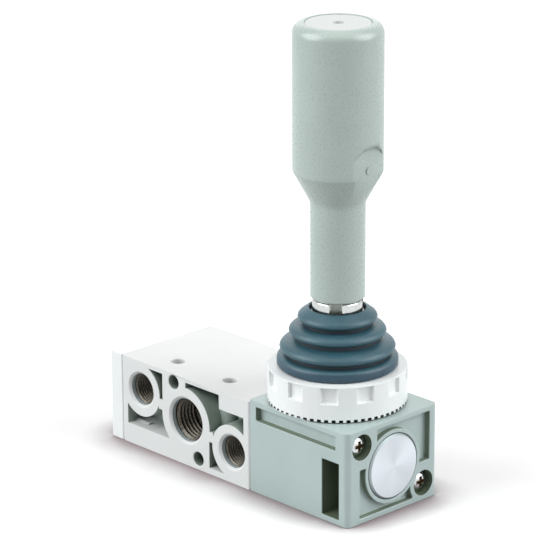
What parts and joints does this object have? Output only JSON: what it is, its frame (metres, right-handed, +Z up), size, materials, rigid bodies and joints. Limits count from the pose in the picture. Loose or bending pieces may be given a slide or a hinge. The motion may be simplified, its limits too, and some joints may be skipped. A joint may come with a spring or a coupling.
{
  "type": "hand valve",
  "caption": "Lever-operated pneumatic spool valve: flat ported block with a box-shaped lever housing, ring nut, stepped bellows and an upright tilting grip",
  "frame": {"origin": "On the base plane, under the lever's axis", "axes": "+X along the spool towards the housing's free end, -Y the face with the supply and exhaust ports, +Z up along the lever"},
  "size_m": [0.0998, 0.0396, 0.1374],
  "materials": {
    "white_plastic": "moulded, slight sheen",
    "grey_plastic": "moulded, satin",
    "plug_plastic": "turned, satin",
    "bellows_rubber": "soft, matt",
    "black_rubber": "matt",
    "plated_steel": "zinc plated",
    "aluminium_parts": "turned",
    "spacer_plastic": "matt",
    "cast_metal": "die cast",
    "spring_steel": "drawn wire",
    "bronze": "sintered",
    "brass": "turned"
  },
  "bodies": {
    "valve": {"valve_block": "white_plastic", "end_cap": "white_plastic", "end_cap_seal": "black_rubber", "end_cap_screws": "plated_steel", "spool_spacers": "spacer_plastic", "spool_seals": "black_rubber", "seal_retainer": "aluminium_parts", "lever_housing": "grey_plastic", "housing_seal": "black_rubber", "housing_screws": "plated_steel", "end_plug": "plug_plastic", "end_plug_seal": "black_rubber", "pivot_holder": "cast_metal", "holder_circlip": "plated_steel", "pivot_pin": "plated_steel", "ring_nut": "white_plastic", "bellows": "bellows_rubber", "plug_side_spring": "spring_steel", "block_side_spring": "spring_steel"},
    "lever": {"lever_hub": "cast_metal", "pivot_bushes": "bronze", "lever_rod": "plated_steel", "rod_washer": "plated_steel", "lock_nut": "plated_steel", "grip": "grey_plastic", "grip_insert": "brass", "grip_cap": "grey_plastic"},
    "spool_train": {"spool": "aluminium_parts", "spool_yoke": "plated_steel", "guide_screw": "plated_steel"}
  },
  "joints": [
    {"name": "lever_tilt", "type": "hinge", "parent": "valve", "child": "lever", "pos_m": [0, 0, 0.024], "axis": [0, 1, 0], "range_deg": [-15, 15], "stiffness_Nm_per_rad": 2, "deforming": ["bellows"]},
    {"name": "spool_slide", "type": "slide", "parent": "valve", "child": "spool_train", "axis": [1, 0, 0], "range_m": [-0.0027, 0.0027], "deforming": ["plug_side_spring", "block_side_spring"]}
  ],
  "couplings": [
    {"joint": "spool_slide", "follows": "lever_tilt", "m_per_rad": -0.01015}
  ]
}
